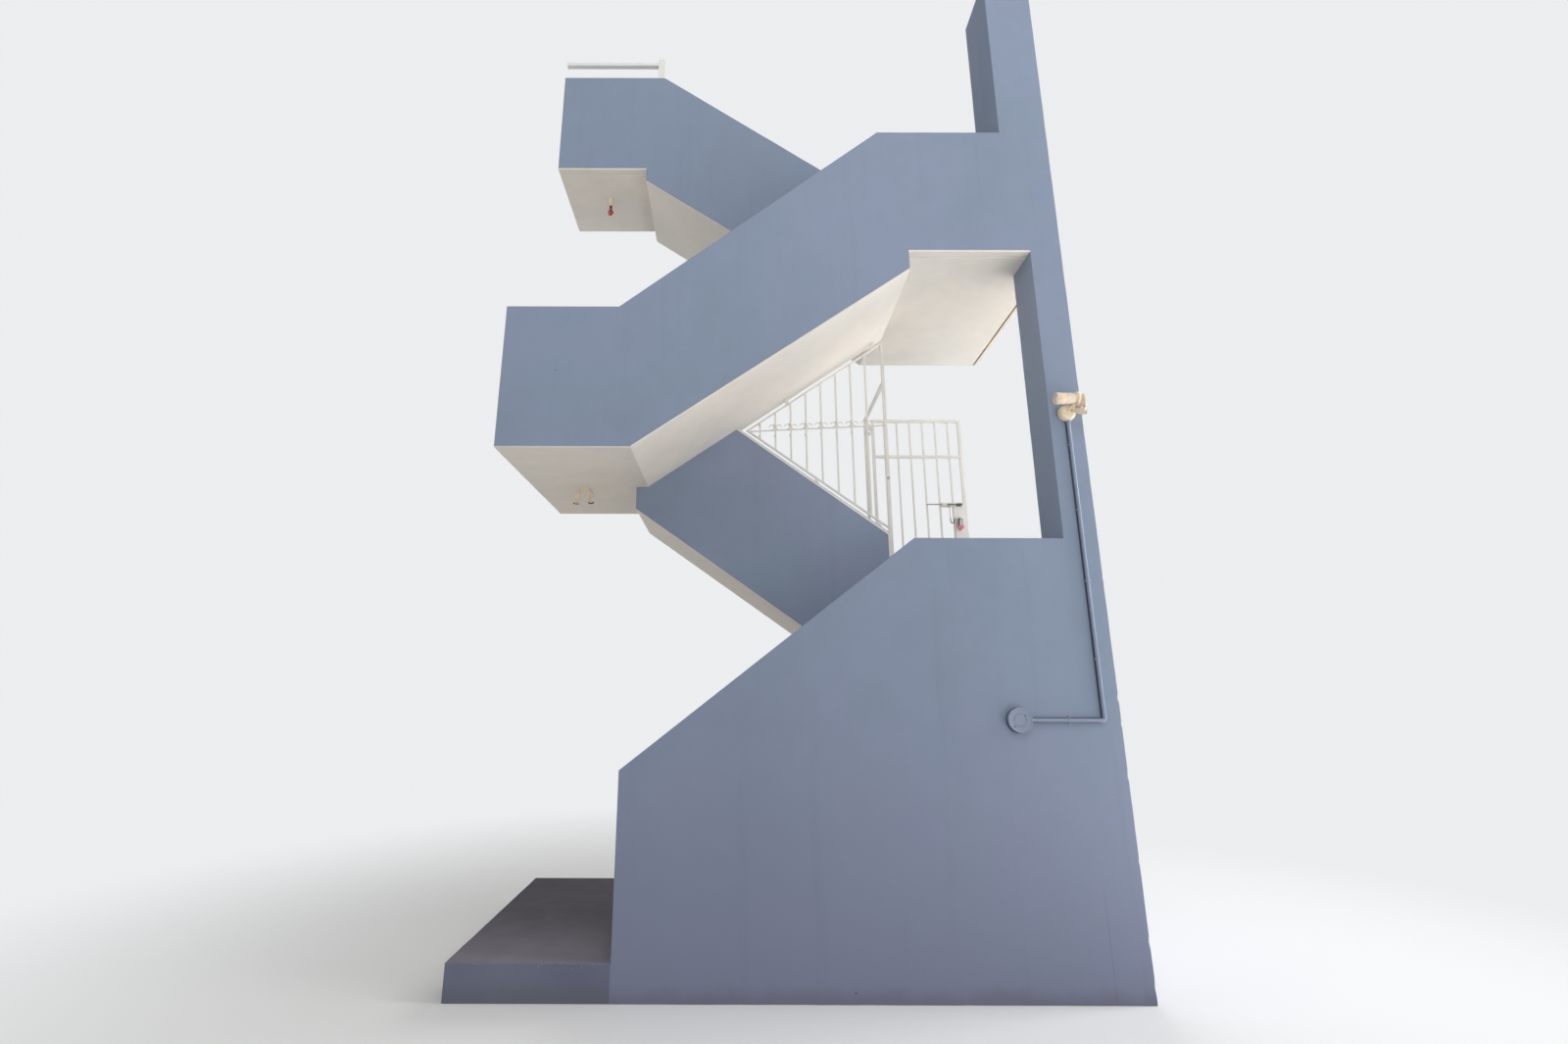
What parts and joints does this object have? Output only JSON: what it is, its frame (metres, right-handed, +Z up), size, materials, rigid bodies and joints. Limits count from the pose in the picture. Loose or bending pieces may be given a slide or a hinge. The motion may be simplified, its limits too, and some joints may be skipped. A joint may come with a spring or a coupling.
{
  "type": "outside stair of painted concrete, a dog-leg fire escape stair with solid parapets",
  "caption": "Outside dog-leg stair of rendered concrete: solid parapets, a corner post, dark porch, iron grille and gate, top rail, lamps and conduit.",
  "frame": {"origin": "centre of the footprint on the ground, with the reach of the floodlight counted in the length and the depth", "axes": "+Z up; +X along the flights, from the building's side wall to the corner post; +Y from the front face to the building's back wall"},
  "size_m": [3.92, 1.916, 7.41],
  "materials": {
    "blue_paint": "blue-grey masonry paint on cement render, matt, slightly rolled",
    "white_soffit": "warm white masonry paint on the flights and the undersides of the slabs, matt",
    "floor_screed": "dark grey cement screed, trowelled, dusty",
    "tread_stone": "grey polished terrazzo treads with a round nosing",
    "white_iron": "white gloss paint on wrought iron bars",
    "bare_steel": "zinc plated steel, dull, with rust",
    "lock_paint": "pink enamel",
    "black_steel": "black enamel",
    "lamp_cream": "cream lamp housing, slightly yellowed",
    "red_glass": "red coated bulb glass",
    "conduit_paint": "plastic conduit painted over in the blue of the wall"
  },
  "bodies": {
    "stair": {"porch": "blue_paint", "porch_floor": "floor_screed", "front_wall": "blue_paint", "side_wall": "blue_paint", "corner_post": "blue_paint", "upper_post": "blue_paint", "flight_1": "white_soffit", "flight_1_treads": "tread_stone", "lower_landing": "white_soffit", "flight_2": "white_soffit", "flight_2_treads": "tread_stone", "flight_2_parapet": "blue_paint", "first_landing": "white_soffit", "first_landing_parapet": "blue_paint", "flight_3": "white_soffit", "flight_3_treads": "tread_stone", "flight_3_parapet": "blue_paint", "upper_landing": "white_soffit", "upper_landing_parapet": "blue_paint", "upper_side_parapet": "blue_paint", "flight_4": "white_soffit", "flight_4_treads": "tread_stone", "flight_4_parapet": "blue_paint", "second_landing": "white_soffit", "second_landing_parapet": "blue_paint", "top_rail": "white_iron", "stair_grille": "white_iron", "gate_post": "white_iron", "gate_frame": "white_iron", "spotlight": "lamp_cream", "bulb_holder": "lamp_cream", "bulb": "red_glass", "floodlight": "lamp_cream", "motion_sensor": "lamp_cream", "conduit": "conduit_paint", "junction_box": "conduit_paint"},
    "gate": {"gate_leaf": "white_iron", "lock_plate": "white_iron", "bolt_guides": "bare_steel", "padlock": "lock_paint", "shackle": "black_steel"},
    "bolt": {"slide_bolt": "bare_steel"}
  },
  "joints": [
    {"name": "gate_hinge", "type": "hinge", "parent": "stair", "child": "gate", "pos_m": [0.88, 0.931, 3], "axis": [0, 0, -1], "range_deg": [0, 90]},
    {"name": "bolt_slide", "type": "slide", "parent": "gate", "child": "bolt", "axis": [1, 0, 0], "range_m": [0, 0.028]}
  ]
}
